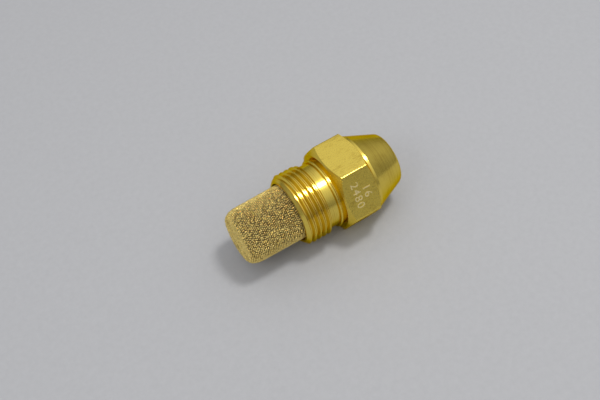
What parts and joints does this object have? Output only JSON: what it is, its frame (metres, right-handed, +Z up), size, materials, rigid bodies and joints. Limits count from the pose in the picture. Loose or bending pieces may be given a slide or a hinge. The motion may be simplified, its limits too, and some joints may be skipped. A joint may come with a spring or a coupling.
{
  "type": "oil burner nozzle",
  "caption": "Brass oil burner nozzle with an external thread, hexagon, conical nose, orifice disc and a sintered thimble filter at the rear.",
  "frame": {"origin": "on the nozzle's axis, in the plane of the ring face at the rear of the mounting thread", "axes": "+X along the nozzle's axis, the way it sprays; +Z up when the nozzle lies on one flat of its hexagon"},
  "size_m": [0.0332, 0.0184, 0.0158],
  "materials": {
    "turned_brass": "turned and polished, drawn grain on the hexagon's flats",
    "stainless": "ground",
    "sintered_bronze": "sintered grains, matt"
  },
  "bodies": {
    "nozzle": {"nozzle_body": "turned_brass", "orifice_disc": "stainless"},
    "distributor": {"swirl_distributor": "stainless"},
    "screw": {"lock_screw": "turned_brass"},
    "filter": {"filter_holder": "turned_brass", "sintered_filter": "sintered_bronze"}
  },
  "joints": [
    {"name": "distributor_slide", "type": "slide", "parent": "nozzle", "child": "distributor", "axis": [-1, 0, 0], "range_m": [0, 0.0045]},
    {"name": "screw_turn", "type": "hinge", "parent": "distributor", "child": "screw", "pos_m": [0.012, 0, 0], "axis": [-1, 0, 0], "range_deg": [0, 2160]},
    {"name": "filter_pull", "type": "slide", "parent": "nozzle", "child": "filter", "axis": [-1, 0, 0], "range_m": [0, 0.012]}
  ],
  "couplings": [
    {"joint": "screw_turn", "follows": "distributor_slide", "rad_per_m": 8377.6}
  ]
}
